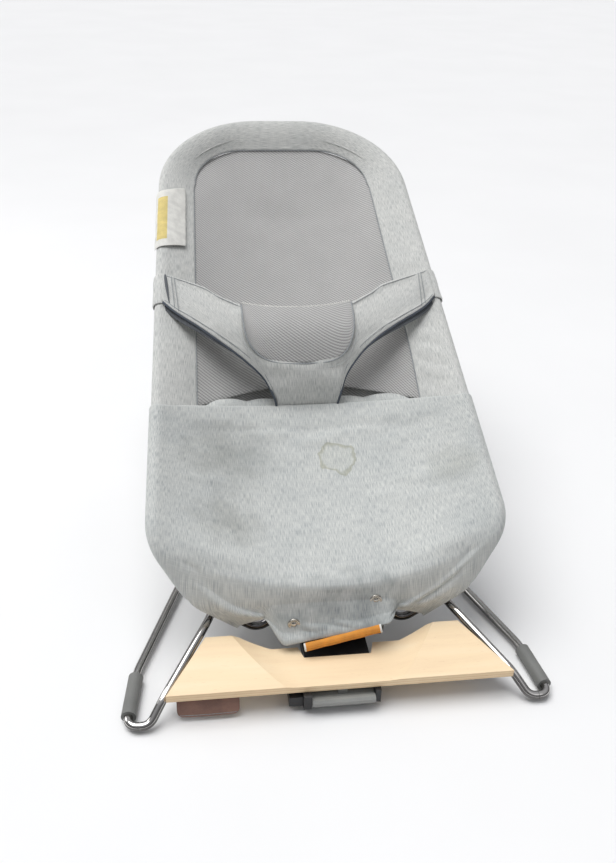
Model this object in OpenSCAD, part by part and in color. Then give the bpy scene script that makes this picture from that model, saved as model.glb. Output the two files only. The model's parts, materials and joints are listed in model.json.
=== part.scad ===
// Folding baby bouncer: a sprung rod frame with a wooden foot board, a locking
// hub, and a reclining seat ring that carries a fabric sling.
// +Z is up, the front of the seat faces -Y, and X = 0 is the plane of symmetry.
// The floor is Z = 0 and the seat is drawn in its middle recline position.

/* [Rods] */
// Diameter of the floor rod and of the spring arms
rod_d = 9.5; // [8:0.5:10.5]
// Diameter of the rod that carries the seat
seat_rod_d = 9.5; // [8:0.5:10.5]
// Height of the floor rod's centre line
floor_rod_z = 7.6; // [7:0.1:8]
// Half of the width between the two front bends
front_half_w = 227; // [220:1:235]
// Half of the width of the floor rod's rear part
rear_half_w = 150; // [130:1:165]
// Distance from the origin to the rear floor bar
rear_bar_y = 189.2; // [180:0.2:220]
// Distance from the origin to the front bends
front_y = 385.8; // [380:0.2:392]

/* [Feet] */
// Diameter of the rubber sleeves
sleeve_d = 16; // [15.4:0.2:17]
// Length of each rubber sleeve
sleeve_len = 57; // [45:1:60]

/* [Foot board] */
// Thickness of the board
board_t = 10; // [8:1:12]
// Tilt of the board, rising towards the back
board_tilt = 7; // [5:0.5:8]
// Height of the hollow's level floor
hollow_z = 35; // [34:0.2:36]
// Radius of the hollow's side walls
hollow_r = 80; // [60:5:100]

/* [Hub] */
// Height of the recline axis
hub_z = 46; // [44:0.5:48]
// Distance from the origin forward to the recline axis
hub_y = 277.8; // [274:0.2:282]
// Diameter of the axle
axle_d = 12; // [10:1:14]
// Radius of the round side discs
disc_r = 25; // [22:1:27]
// Half of the width of the hub housing
hub_half_w = 36; // [32:1:40]

/* [Seat] */
// Angle of the side rails above the floor
recline = 25.1; // [24:0.1:26]
// Half of the width between the rails at the front
rail_half_w = 192; // [186:1:196]
// How much narrower each side is at the head, per unit of length
rail_taper = 0.039; // [0.03:0.001:0.045]
// Length of the side rails, from the reference point to the head bar
rail_len = 655; // [620:1:670]
// Radius of the seat ring's corners at the head
head_r = 140; // [110:1:145]
// Thickness of the padded fabric
fabric_t = 3; // [2.5:0.5:3.5]

/* [Hidden] */
$fn = 64;

rod_r = rod_d / 2;
seat_rod_r = seat_rod_d / 2;
gap = 0.3;
lap = 0.2;
step = 0.02;
run_fit = 0.05;
spigot_d = 5;
spigot_len = 7;
// The two rods meet at this distance from the plane of symmetry.
split_x = 214;
// A point on the rails' plane from which the seat is measured.
rail_y = -209.8;
rail_z = 168;
board_front_y = -375.3;
board_front_z = 36.5;
board_front_w = 186.4;
board_back_w = 143;
board_back_y = -301;
board_mid_y = -316.5;
board_low_z = 27.3;
notch_y = -332.8;
shoulder_w = 106;
lever_y = -367.8;
lever_z = 14;
lever_half_w = 34;
slide_z = 24;
slide_w = 12;
slide_h = 5;
slide_front_y = -363.9;
ratchet_r = 18;
// The slide's post stands this far behind the ratchet, clear of its teeth.
latch_y = -hub_y + ratchet_r + 0.4;
post_t = 5;

// ---------- vectors and frames ----------

function unit(v) = v / norm(v);
function flip(p) = [-p[0], p[1], p[2]];
function mix(a, b, t) = a + (b - a) * t;
function reversed(list) = [for (i = [len(list) - 1 : -1 : 0]) list[i]];
// A matrix that turns local X, Y and Z into the given directions, then moves to p.
function placed(x, y, z, p) = [
    [x[0], y[0], z[0], p[0]],
    [x[1], y[1], z[1], p[1]],
    [x[2], y[2], z[2], p[2]],
    [0, 0, 0, 1]
];
function side_of(z) = unit(cross(abs(z[2]) > 0.9 ? [1, 0, 0] : [0, 0, 1], z));

// A straight round bar from a to b.
module bar(a, b, r) {
    z = unit(b - a);
    x = side_of(z);
    multmatrix(placed(x, cross(z, x), z, a)) cylinder(h = norm(b - a), r = r);
}

// The turn between two directions at a corner, and the length that its bend takes up.
function turn(a, b, c) = acos(min(1, unit(b - a) * unit(c - b)));
function trim(points, bends, i) = i == 0 || i == len(points) - 1 ? 0
    : bends[i] * tan(turn(points[i - 1], points[i], points[i + 1]) / 2);

// A rod bent along a list of points, with a bend radius at each inner point.
// Each straight run reaches a little way into the bend, which is a hair thinner.
module bent_rod(points, bends, r) {
    for (i = [0 : len(points) - 2]) {
        way = unit(points[i + 1] - points[i]);
        bar(points[i] + way * (trim(points, bends, i) - (i == 0 ? 0 : lap)),
            points[i + 1] - way * (trim(points, bends, i + 1) - (i == len(points) - 2 ? 0 : lap)), r);
    }
    for (i = [1 : len(points) - 2]) {
        into = unit(points[i] - points[i - 1]);
        out = unit(points[i + 1] - points[i]);
        axis = unit(cross(into, out));
        start = points[i] - into * trim(points, bends, i);
        inward = cross(axis, into);
        multmatrix(placed(-inward, into, axis, start + inward * bends[i]))
            rotate_extrude(angle = turn(points[i - 1], points[i], points[i + 1]))
                translate([bends[i], 0]) circle(r = r - step);
    }
}

// A closed soft sheet: the surface at(s, t), for s and t from 0 to 1, made thick downwards.
module sheet(at, thick, across = 16, along = 10) {
    function normal(s, t) = unit(cross(at(min(1, s + 0.01), t) - at(max(0, s - 0.01), t),
                                       at(s, min(1, t + 0.01)) - at(s, max(0, t - 0.01))));
    top = [for (j = [0 : along]) for (i = [0 : across]) at(i / across, j / along)];
    low = [for (j = [0 : along]) for (i = [0 : across])
        at(i / across, j / along) - thick * normal(i / across, j / along)];
    row = across + 1;
    half = len(top);
    rim = concat(
        [for (i = [0 : across]) i],
        [for (j = [1 : along]) j * row + across],
        [for (i = [across - 1 : -1 : 0]) along * row + i],
        [for (j = [along - 1 : -1 : 1]) j * row]
    );
    faces = concat(
        [for (j = [0 : along - 1]) for (i = [0 : across - 1]) for (k = [0, 1])
            k == 0 ? [j * row + i, (j + 1) * row + i + 1, j * row + i + 1]
                   : [j * row + i, (j + 1) * row + i, (j + 1) * row + i + 1]],
        [for (j = [0 : along - 1]) for (i = [0 : across - 1]) for (k = [0, 1])
            k == 0 ? [half + j * row + i, half + j * row + i + 1, half + (j + 1) * row + i + 1]
                   : [half + j * row + i, half + (j + 1) * row + i + 1, half + (j + 1) * row + i]],
        [for (n = [0 : len(rim) - 1]) for (k = [0, 1])
            let (a = rim[n], b = rim[(n + 1) % len(rim)])
            k == 0 ? [a, b, b + half] : [a, b + half, a + half]]
    );
    polyhedron(points = concat(top, low), faces = faces);
}

// ---------- routes of the rods ----------

// A point of the seat: x across, u up along the rails, w out of the rails' plane.
function seat(x, u, w) = [
    x,
    rail_y + u * cos(recline) - w * sin(recline),
    rail_z + u * sin(recline) + w * cos(recline)
];
function rail_w(u) = rail_half_w - rail_taper * u;

floor_half = [
    [split_x, -front_y, floor_rod_z],
    [front_half_w + 0.5, -front_y, floor_rod_z],
    [219, -307.8, floor_rod_z],
    [rear_half_w, -100.8, floor_rod_z],
    [rear_half_w, rear_bar_y, floor_rod_z]
];
floor_bends = [0, 11, 90, 200, 60];

arm_half = [
    [split_x - 0.4, -front_y, floor_rod_z],
    [204, -front_y, floor_rod_z],
    [188, -366.8, 28],
    [137, -hub_y, 53],
    [120, -213.8, 50]
];
arm_bends = [0, 14, 40, 70, 30];
// From the cross bar of the arms back to the recline axis, as [along Y, along Z].
hub_bar = [-hub_y - arm_half[4][1], hub_z - arm_half[4][2]];

seat_half = [
    [hub_half_w + 8, -hub_y, hub_z],
    [66, -hub_y, hub_z],
    [84, -hub_y, 33],
    [152, 2 - hub_y, 80],
    seat(rail_w(-50), -50, 0),
    seat(rail_w(rail_len), rail_len, 0)
];
seat_bends = [0, 14, 16, 45, 42, head_r];

function both_sides(half) = concat(half, reversed([for (p = half) flip(p)]));
function both_bends(bends) = concat(bends, reversed(bends));

// ---------- floor frame ----------

module floor_rod() {
    color([0.78, 0.79, 0.8]) {
        bent_rod(both_sides(floor_half), both_bends(floor_bends), rod_r);
        for (side = [-1, 1])
            bar([side * (split_x + 4), -front_y, floor_rod_z],
                [side * (split_x - spigot_len), -front_y, floor_rod_z], spigot_d / 2);
    }
}

// A rubber sleeve around the rod from a to b, flat where it meets the floor.
module sleeve(a, b) {
    color([0.45, 0.46, 0.46]) difference() {
        bar(a, b, sleeve_d / 2);
        bar(a - unit(b - a), b + unit(b - a), rod_r);
        translate([-400, -400, -20]) cube([800, 800, 20]);
    }
}

function front_sleeve(side, d) = let (
    a = [side * floor_half[1][0], floor_half[1][1], floor_half[1][2]],
    b = [side * floor_half[2][0], floor_half[2][1], floor_half[2][2]]
) a + unit(b - a) * d;

module foot_sleeve_front(side) {
    sleeve(front_sleeve(side, 14), front_sleeve(side, 14 + sleeve_len));
}

module foot_sleeve_rear(side) {
    sleeve([side * 20, rear_bar_y, floor_rod_z], [side * (20 + sleeve_len), rear_bar_y, floor_rod_z]);
}

// ---------- spring arms and foot board ----------

module spring_arm_rod() {
    color([0.78, 0.79, 0.8]) difference() {
        bent_rod(both_sides(arm_half), both_bends(arm_bends), rod_r);
        for (side = [-1, 1])
            bar([side * (split_x + 1), -front_y, floor_rod_z],
                [side * (split_x - spigot_len - 0.5), -front_y, floor_rod_z], spigot_d / 2 + run_fit);
    }
}

// Moves its children into the board's own plane: Y = 0 is the front edge, Z = 0 the upper face.
module on_board() {
    translate([0, board_front_y, board_front_z]) rotate([board_tilt, 0, 0]) children();
}

board_screw_places = [[168, 16], [140, 50]];
hub_screw_places = [[28, 34], [-28, 34]];

module board_outline() {
    run = 1 / cos(board_tilt);
    back = (board_back_y - board_front_y) * run;
    middle = (board_mid_y - board_front_y) * run;
    notch = (notch_y - board_front_y) * run;
    polygon([
        [-board_front_w, 0], [board_front_w, 0], [board_back_w, back], [shoulder_w, back],
        [72, middle], [hub_half_w + 6, middle], [hub_half_w + 1, notch],
        [-hub_half_w - 1, notch], [-hub_half_w - 6, middle], [-72, middle],
        [-shoulder_w, back], [-board_back_w, back]
    ]);
}

// What one wall of the hollow bounds: open to the left, with a round foot at the right.
module hollow_wall() {
    rotate([90, 0, 0]) translate([0, 0, -200]) linear_extrude(height = 400) {
        translate([-400, 0]) square([400, 60]);
        translate([0, hollow_r]) circle(r = hollow_r);
    }
}

// The level hollow in the board's middle, wider towards the back.
module board_hollow() {
    foot_x = 66;
    spread = 20;
    translate([0, 0, hollow_z]) intersection() {
        translate([foot_x, board_mid_y, 0]) rotate([0, 0, -spread]) hollow_wall();
        mirror([1, 0, 0]) translate([foot_x, board_mid_y, 0]) rotate([0, 0, -spread]) hollow_wall();
        translate([-400, -400, 0]) cube([800, 800, 60]);
    }
}

// The board is thicker below the hollow, so that it keeps its strength there.
module board_middle() {
    translate([0, 0, board_low_z]) linear_extrude(height = hollow_z - board_low_z + 1)
        polygon([[-60, -371], [60, -371], [98, board_back_y], [-98, board_back_y]]);
}

module foot_board() {
    color([0.87, 0.74, 0.55]) difference() {
        intersection() {
            on_board() translate([0, 0, -30]) linear_extrude(height = 60) board_outline();
            union() {
                on_board() translate([-250, -10, -board_t]) cube([500, 120, board_t]);
                board_middle();
            }
        }
        board_hollow();
        on_board() for (side = [-1, 1], at = board_screw_places)
            translate([side * at[0], at[1], -board_t - 1]) cylinder(h = 8, d = 4.1);
        on_board() for (at = hub_screw_places)
            translate([at[0], at[1], -board_t - 5]) cylinder(h = 7.8, d = 4.1);
    }
}

// A steel plate under the board's side, with a lip that is welded to the arm beside it.
module board_bracket(side) {
    color([0.6, 0.61, 0.62]) difference() {
        on_board() {
            translate([0, 0, -board_t - 2.3]) linear_extrude(height = 2)
                polygon([for (p = [[150, 6], [183, 6], [154, 58], [122, 58]]) [side * p[0], p[1]]]);
        }
        on_board() for (at = board_screw_places)
            translate([side * at[0], at[1], -board_t - 4]) cylinder(h = 8, d = 4.6);
        bent_rod([for (p = arm_half) [side * p[0], p[1], p[2]]], arm_bends, rod_r + gap);
    }
}

module screw(shank) {
    cylinder(h = 2.2, d = 8);
    translate([0, 0, 2.1]) cylinder(h = shank, d = 4);
}

module board_screws() {
    color([0.7, 0.7, 0.7]) on_board() for (side = [-1, 1], at = board_screw_places)
        translate([side * at[0], at[1], -board_t - 4.6]) screw(8.5);
}

module leather_tag() {
    color([0.42, 0.28, 0.27]) on_board() translate([-176, 4, -board_t - 3])
        rotate([28, 0, 0]) translate([0, -4, -13]) cube([66, 1.8, 15]);
}

// ---------- hub ----------

// The housing's section about the recline axis: drum, front block, flange under the
// board, and a rear arm that holds the spring arms' cross bar.
module hub_housing_section() {
    circle(r = 23);
    translate([-54, -31]) square([54, 17]);
    translate([-77, -31]) square([27, 17]);
    translate([0, -8]) square([-hub_bar[0], 14]);
    translate(-hub_bar) circle(r = 9);
}

module hub_housing() {
    color([0.1, 0.1, 0.11]) difference() {
        translate([-hub_half_w, -hub_y, hub_z]) rotate([90, 0, 90])
            linear_extrude(height = 2 * hub_half_w) hub_housing_section();
        translate([-60, -hub_y, hub_z]) rotate([0, 90, 0]) cylinder(h = 120, d = axle_d + 2 * run_fit);
        translate([-8, -hub_y, hub_z]) rotate([0, 90, 0]) cylinder(h = 16, r = ratchet_r + 1);
        translate([-8, -hub_y - 15, hub_z]) cube([16, 30, 60]);
        translate([-slide_w / 2 - gap, -hub_y - 90, slide_z - slide_h / 2 - gap])
            cube([slide_w + 2 * gap, 90 + ratchet_r + 12, slide_h + 2 * gap]);
        translate([-slide_w / 2 - gap, latch_y - 2, slide_z])
            cube([slide_w + 2 * gap, post_t + 14, 40]);
        translate([-100, arm_half[4][1], arm_half[4][2]]) rotate([0, 90, 0])
            cylinder(h = 200, r = rod_r);
        translate([-100, -400, board_low_z - gap]) cube([200, 400 + notch_y + 2.1, 60]);
        for (at = hub_screw_places) on_board()
            translate([at[0], at[1], -40]) cylinder(h = 40, d = 4.6);
    }
}

// A curved lid over the slot in which the ratchet turns.
module hub_cover() {
    color([0.13, 0.13, 0.14]) difference() {
        translate([-14, -hub_y, hub_z]) rotate([0, 90, 0]) cylinder(h = 28, r = 26);
        translate([-15, -hub_y, hub_z]) rotate([0, 90, 0]) cylinder(h = 30, r = 23 + 0.2);
        translate([-20, -hub_y - 30, hub_z - 40]) cube([40, 60, 40 + 6]);
    }
}

module hub_screws() {
    color([0.7, 0.7, 0.7]) on_board() for (at = hub_screw_places)
        translate([at[0], at[1], -board_t - 18.3]) screw(18.8);
}

module hub_disc(side) {
    color([0.42, 0.43, 0.44]) difference() {
        translate([side > 0 ? hub_half_w + 0.4 : -hub_half_w - 20.4, -hub_y, hub_z])
            rotate([0, 90, 0]) cylinder(h = 20, r = disc_r);
        translate([-90, -hub_y, hub_z]) rotate([0, 90, 0]) cylinder(h = 180, r = seat_rod_r);
        translate([side > 0 ? 0 : -hub_half_w - 7.4, -hub_y, hub_z])
            rotate([0, 90, 0]) cylinder(h = hub_half_w + 7.4, d = axle_d);
    }
}

module hub_axle() {
    length = 2 * hub_half_w + 14;
    color([0.7, 0.7, 0.7]) translate([-length / 2, -hub_y, hub_z]) rotate([0, 90, 0])
        cylinder(h = length, d = axle_d);
}

// A toothed wheel on the axle, into whose gaps the latch drops.
module recline_ratchet() {
    teeth = 24;
    color([0.55, 0.55, 0.56]) difference() {
        translate([-6, -hub_y, hub_z]) rotate([0, 90, 0]) cylinder(h = 12, r = ratchet_r);
        translate([-7, -hub_y, hub_z]) rotate([0, 90, 0]) cylinder(h = 14, d = axle_d);
        for (i = [0 : teeth - 1])
            translate([-7, -hub_y, hub_z]) rotate([360 / teeth * i, 0, 0])
                translate([0, ratchet_r - 2, -1]) cube([14, 4, 2]);
    }
}

// ---------- release lever and latch ----------

module lever_bracket() {
    color([0.08, 0.08, 0.08]) difference() {
        union() {
            translate([-58, lever_y - 8, lever_z - 5]) cube([16, 20, 12]);
            translate([-43, lever_y - 13.5, lever_z - 5.5]) cube([8.6, 25.5, 17.5]);
            translate([lever_half_w + 0.4, lever_y - 11, lever_z - 5]) cube([6, 23, 17]);
            translate([-58, lever_y + 2, lever_z + 8.5]) cube([58 + lever_half_w + 6.4, 7, 3.5]);
        }
        translate([-slide_w / 2 - 1, lever_y - 20, lever_z + 5]) cube([slide_w + 2, 40, 20]);
        on_board() translate([-100, -40, -board_t]) cube([200, 80, 40]);
        translate([-45, lever_y, lever_z]) rotate([0, 90, 0]) cylinder(h = 85, d = 4);
        translate([-57, lever_y, lever_z]) rotate([0, 90, 0]) cylinder(h = 12.2, d = 11.4);
    }
}

module lever_pin() {
    color([0.75, 0.75, 0.75]) translate([-45, lever_y, lever_z]) rotate([0, 90, 0])
        cylinder(h = 85, d = 4);
}

// A coil around the end of the pin, drawn as a stack of rings.
module lever_spring() {
    color([0.6, 0.6, 0.62]) for (i = [0 : 4])
        translate([-55.5 + 1.9 * i, lever_y, lever_z]) rotate([0, 90, 0])
            rotate_extrude() translate([3.8, 0]) circle(r = 1);
}

// The grip bar turns on the pin; a short arm at its middle pushes the slide.
module release_lever() {
    color([0.66, 0.67, 0.68]) difference() {
        union() {
            translate([-lever_half_w, lever_y, lever_z]) rotate([90, 0, 90])
                linear_extrude(height = 2 * lever_half_w) {
                    circle(r = 4.6);
                    polygon([[0, -3], [-13.5, -3], [-16, -0.5], [-16, 3.5], [-13.5, 6], [-9, 6], [-7, 4], [0, 4]]);
                }
            translate([-5, lever_y - 3.5, lever_z]) cube([10, 7, 11]);
        }
        translate([-50, lever_y, lever_z]) rotate([0, 90, 0])
            cylinder(h = 100, d = 4 + 2 * run_fit);
    }
}

// A flat bar under the board and the ratchet, with the post that locks the ratchet.
module latch_slide() {
    color([0.75, 0.75, 0.76]) {
        translate([-slide_w / 2, slide_front_y, slide_z - slide_h / 2])
            cube([slide_w, latch_y + post_t - slide_front_y, slide_h]);
        translate([-slide_w / 2, latch_y, slide_z]) cube([slide_w, post_t, 20]);
    }
}

// A short coil behind the post, drawn as a stack of rings.
module latch_spring() {
    coil_y = latch_y + post_t + 2.6;
    color([0.6, 0.6, 0.62]) for (i = [0 : 3])
        translate([0, coil_y + 0.8 + 1.5 * i, 38]) rotate([90, 0, 0])
            rotate_extrude() translate([3.6, 0]) circle(r = 0.8);
}

// ---------- seat ring ----------

module seat_rod() {
    color([0.35, 0.35, 0.36])
        bent_rod(both_sides(seat_half), both_bends(seat_bends), seat_rod_r);
}

hem_r = seat_rod_r + 2.5;
side_start = 0;
side_end = rail_len - head_r - 4;

// The fabric's hem is a tube around the rod.
module hem_side(side) {
    a = seat(side * rail_w(side_start), side_start, 0);
    b = seat(side * rail_w(side_end), side_end, 0);
    color([0.68, 0.71, 0.73]) difference() {
        bar(a, b, hem_r);
        bar(mix(a, b, -0.1), mix(a, b, 1.1), seat_rod_r);
    }
}

module hem_head() {
    low = side_end + 1;
    left = [seat(-rail_w(low), low, 0), seat(-rail_w(rail_len), rail_len, 0)];
    route = concat(left, reversed([for (p = left) flip(p)]));
    bends = [0, head_r, head_r, 0];
    color([0.68, 0.71, 0.73]) difference() {
        bent_rod(route, bends, hem_r);
        bent_rod(both_sides(seat_half), both_bends(seat_bends), seat_rod_r);
    }
}

// ---------- fabric sling ----------

mesh_low_u = 150;
mesh_top_u = 617;
mesh_r = 76;
rim_low_u = 131;
hem_in = hem_r + 2.6;
mesh_in = 2.5;
function mesh_w(u) = 140 - 0.027 * (u - mesh_low_u);

// A point [x, u] of an arch that starts at the lower left, for t from 0 to 1.
function arch(t, w_low, w_top, u_low, u_top, r) = let (
    m = t > 0.5 ? 1 - t : t,
    side = t > 0.5 ? 1 : -1,
    a = 90 * (m - 0.34) / 0.1
) m < 0.34 ? [side * mix(w_low, w_top, m / 0.34), mix(u_low, u_top - r, m / 0.34)]
    : m < 0.44 ? [side * (w_top - r + r * cos(a)), u_top - r + r * sin(a)]
    : [side * (w_top - r) * (0.5 - m) / 0.06, u_top];

// The woven band between the hem and the mesh panel.
module back_rim() {
    at = function (s, t) let (
        outer = arch(t, rail_w(rim_low_u) - hem_in, rail_w(rail_len) - hem_in,
                     rim_low_u, rail_len - hem_in, head_r - hem_in),
        inner = arch(t, mesh_w(rim_low_u) + gap, mesh_w(mesh_top_u) + gap,
                     rim_low_u, mesh_top_u + gap, mesh_r),
        p = mix(outer, inner, s)
    ) seat(p[0], p[1], mix(3, -13, s));
    color([0.68, 0.71, 0.73]) sheet(at, fabric_t, 3, 50);
}

// The lower edge of the mesh panel, and how deep the panel hangs.
function mesh_edge(x) = mesh_low_u + 62 * (1 - pow(x / 140, 2));
function mesh_depth(u) = 52 - 32 * (u - mesh_low_u) / (mesh_top_u - mesh_low_u);
function mesh_half(u) = u < mesh_top_u - mesh_r ? mesh_w(u)
    : mesh_w(u) - mesh_r + sqrt(max(0, pow(mesh_r, 2) - pow(u - mesh_top_u + mesh_r, 2)));
function mesh_lift(u) = pow(min(1, max(0, mesh_top_u - u) / 120), 0.6);
function mesh_at(x, u) =
    seat(x, u, -14 - mesh_depth(u) * mesh_lift(u) * (1 - pow(x / mesh_w(u), 2)));

module back_mesh() {
    at = function (s, t) let (
        side = 2 * s - 1,
        u = mix(mesh_edge(side * 140), mesh_top_u - mesh_in, t)
    ) mesh_at(side * (mesh_half(u) - mesh_in), u);
    color([0.62, 0.6, 0.62]) sheet(at, fabric_t, 16, 16);
}

// The ridge is the seam across the seat, from rail to rail.
ridge_w = 177;
function ridge(x) = let (k = pow(x / ridge_w, 2)) seat(x, 162 - 38 * k, -56 + 60 * k);

// The pocket behind the ridge, where the child sits.
module seat_pocket() {
    half_w = 132;
    at = function (s, t) let (
        x = (2 * s - 1) * half_w,
        dip = -34 * (1 - pow(x / half_w, 2)) * sin(180 * t)
    ) mix(ridge(x) + [0, 5, -2], mesh_at(x, mesh_edge(x) - 6), t) + [0, 0, dip];
    color([0.66, 0.69, 0.71]) sheet(at, fabric_t, 16, 6);
}

// The crease where the leg panel turns down, and the panel's lower edge.
function crease(x) = let (k = pow(x / 178, 2)) [x, -292.8 + 30 * k, 106 + 28 * k];
function panel_low(x) = let (k = pow(x / 178, 2)) [x * 0.8, -299.8 + 18 * k, 80 - 4 * k];

module leg_panel() {
    at = function (s, t) let (
        x = (1 - 2 * s) * mix(ridge_w, 176, t),
        bulge = 7 * sin(180 * t)
    ) t < 0.72 ? mix(ridge(x), crease(x), t / 0.72) + [0, 0, -bulge]
        : mix(crease(x), panel_low(x), (t - 0.72) / 0.28) + [0, 0, -bulge];
    color([0.68, 0.71, 0.73]) sheet(at, fabric_t, 18, 18);
}

flap_half_w = 57;
flap_skew = 0.2;
// The flap hangs from the crease; its right corner is pulled up.
function flap_at(x, t) = [x, mix(-300.8, -318, t), mix(98, 58, t) + flap_skew * x * t];

module front_flap() {
    at = function (s, t) flap_at((1 - 2 * s) * mix(flap_half_w + 8, flap_half_w, t), t);
    color([0.66, 0.69, 0.71]) sheet(at, 2, 6, 4);
}

module flap_snap(side) {
    base = flap_at(side * (flap_half_w - 11), 0.64);
    color([0.72, 0.71, 0.68]) translate(base) rotate([82, 0, 0]) {
        translate([0, 0, 0.2]) cylinder(h = 1.6, r = 6);
        cylinder(h = 3, r = 3);
    }
}

// A blank folded tag at the lower edge of the flap.
module rolled_label() {
    color([0.88, 0.53, 0.16]) bar([-36, -329, 46.5], [48, -323, 62.5], 4.5);
}

// ---------- restraint strap ----------

strap_u = 262;
strap_end_u = 332;
strap_half = 176;
function strap_line(x) = let (k = pow(abs(x) / strap_half, 1.7))
    [x, mix(strap_u, strap_end_u, k), mix(17, 13, k)];

module restraint_strap() {
    at = function (s, t) let (
        p = strap_line((1 - 2 * s) * strap_half),
        k = abs(2 * s - 1)
    ) seat(p[0], p[1] + mix(38, 18, k) * (0.5 - t) * 2, p[2] + 6 * sin(180 * t));
    color([0.68, 0.71, 0.73]) sheet(at, 2, 20, 4);
}

// The piece between the legs, from the strap down to the ridge.
module crotch_strap() {
    at = function (s, t) let (
        half = mix(78, 31, pow(t, 0.6)),
        x = (1 - 2 * s) * half,
        top = seat(x, strap_u - 39, 15),
        end = ridge(x) + [0, 1, 6]
    ) mix(top, end, t);
    color([0.68, 0.71, 0.73]) sheet(at, 2, 8, 6);
}

// The mesh insert lies on the middle of the strap.
module strap_mesh() {
    color([0.62, 0.6, 0.62])
        multmatrix(placed([1, 0, 0], unit(seat(0, 1, 0) - seat(0, 0, 0)),
                          unit(seat(0, 0, 1) - seat(0, 0, 0)), seat(0, strap_u + 8, 23.4)))
            intersection() {
                translate([-62, -44]) cube([124, 64, 1.4]);
                translate([0, 26, -1]) cylinder(h = 4, r = 68);
            }
}

// The strap's end wraps around the hem.
module strap_end(side) {
    a = seat(side * rail_w(strap_end_u - 18), strap_end_u - 18, 0);
    b = seat(side * rail_w(strap_end_u + 18), strap_end_u + 18, 0);
    color([0.3, 0.32, 0.35]) difference() {
        bar(a, b, hem_r + 2);
        bar(mix(a, b, -0.1), mix(a, b, 1.1), hem_r);
    }
}

module side_label() {
    at = function (s, t) let (u = mix(418, 522, t), x = mix(-165, -150, s)) seat(x, u, mix(6, 0.4, s));
    color([0.9, 0.89, 0.85]) sheet(at, 0.8, 2, 2);
}

// ---------- parts ----------

floor_rod();
foot_sleeve_front(-1);  // foot_sleeve_front_left
foot_sleeve_front(1);  // foot_sleeve_front_right
foot_sleeve_rear(-1);  // foot_sleeve_rear_left
foot_sleeve_rear(1);  // foot_sleeve_rear_right
spring_arm_rod();
foot_board();
board_bracket(-1);  // board_bracket_left
board_bracket(1);  // board_bracket_right
board_screws();
leather_tag();
hub_housing();
hub_cover();
hub_screws();
lever_bracket();
lever_pin();
lever_spring();
release_lever();
latch_slide();
latch_spring();
seat_rod();
hub_disc(-1);  // hub_disc_left
hub_disc(1);  // hub_disc_right
hub_axle();
recline_ratchet();
hem_side(-1);  // hem_left
hem_side(1);  // hem_right
hem_head();
back_rim();
back_mesh();
seat_pocket();
leg_panel();
front_flap();
flap_snap(-1);  // flap_snap_left
flap_snap(1);  // flap_snap_right
rolled_label();
restraint_strap();
crotch_strap();
strap_mesh();
strap_end(-1);  // strap_end_left
strap_end(1);  // strap_end_right
side_label();
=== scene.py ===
"""Folding baby bouncer: its fabric, finishes, lights and camera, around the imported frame."""

import json
import math

import bpy
import numpy as np
from mathutils import Matrix, Vector


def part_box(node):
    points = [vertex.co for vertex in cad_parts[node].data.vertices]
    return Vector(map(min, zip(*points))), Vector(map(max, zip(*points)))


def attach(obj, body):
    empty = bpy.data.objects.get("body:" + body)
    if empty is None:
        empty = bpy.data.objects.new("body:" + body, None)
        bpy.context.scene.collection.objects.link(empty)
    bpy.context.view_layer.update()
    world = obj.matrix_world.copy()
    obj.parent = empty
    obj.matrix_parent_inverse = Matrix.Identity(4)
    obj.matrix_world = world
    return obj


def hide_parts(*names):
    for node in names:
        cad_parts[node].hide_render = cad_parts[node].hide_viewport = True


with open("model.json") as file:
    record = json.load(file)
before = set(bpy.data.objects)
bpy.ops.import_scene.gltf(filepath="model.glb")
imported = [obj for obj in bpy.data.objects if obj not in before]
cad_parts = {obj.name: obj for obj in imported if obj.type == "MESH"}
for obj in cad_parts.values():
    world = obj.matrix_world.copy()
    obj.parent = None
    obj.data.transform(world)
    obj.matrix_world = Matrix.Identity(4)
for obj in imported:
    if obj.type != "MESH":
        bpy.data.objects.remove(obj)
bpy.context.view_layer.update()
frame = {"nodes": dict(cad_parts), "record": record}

MM = 0.001
RECLINE = math.radians(25.1)
COS, SIN = math.cos(RECLINE), math.sin(RECLINE)
JOINTS = {j["name"]: j for j in frame["record"]["behaviour"]["joints"]}
HUB_Y = JOINTS["recline"]["pos_m"][1] / MM
HUB_Z = JOINTS["recline"]["pos_m"][2] / MM
SEAT_Y = HUB_Y + 68
SEAT_Z = HUB_Z + 122
UP = np.array([0, -SIN, COS])
ALONG = np.array([0, COS, SIN])
TAPER = 0.039
RAIL_LEN = 655
HEAD_R = 140
WRAP_R = 8.2
SEAM_U = 124
MESH_LOW_U = 150
MESH_TOP_U = 617
MESH_R = 76


# ---------- points and curves, in millimetres ----------


def vec(x, y, z):
    return np.array([x, y, z], float)


def unit(v):
    return v / np.linalg.norm(v)


def mix(a, b, t):
    return a + (b - a) * t


def smooth(x, low, high):
    """0 below low, 1 above high and an even S between them."""
    t = min(1.0, max(0.0, (x - low) / (high - low)))
    return t * t * (3 - 2 * t)


def seat(x, u, w):
    """x across, u up along the rails, w out of the rails' plane."""
    return vec(x, SEAT_Y + u * COS - w * SIN, SEAT_Z + u * SIN + w * COS)


def rail_w(u):
    return 192 - TAPER * u


def mesh_w(u):
    return 140 - 0.027 * (u - MESH_LOW_U)


def bent_path(points, bends, step=4):
    """Points along a bent rod's centre line: straight runs joined by round bends."""
    path = [points[0]]
    for i in range(1, len(points) - 1):
        into, out = unit(points[i] - points[i - 1]), unit(points[i + 1] - points[i])
        turn = math.acos(min(1.0, float(into @ out)))
        start = points[i] - into * bends[i] * math.tan(turn / 2)
        axis = unit(np.cross(into, out))
        inward = np.cross(axis, into)
        centre = start + inward * bends[i]
        count = max(3, int(turn * bends[i] / step))
        for k in range(count + 1):
            a = turn * k / count
            path.append(centre + bends[i] * (math.sin(a) * into - math.cos(a) * inward))
    path.append(points[-1])
    return np.array(path)


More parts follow.
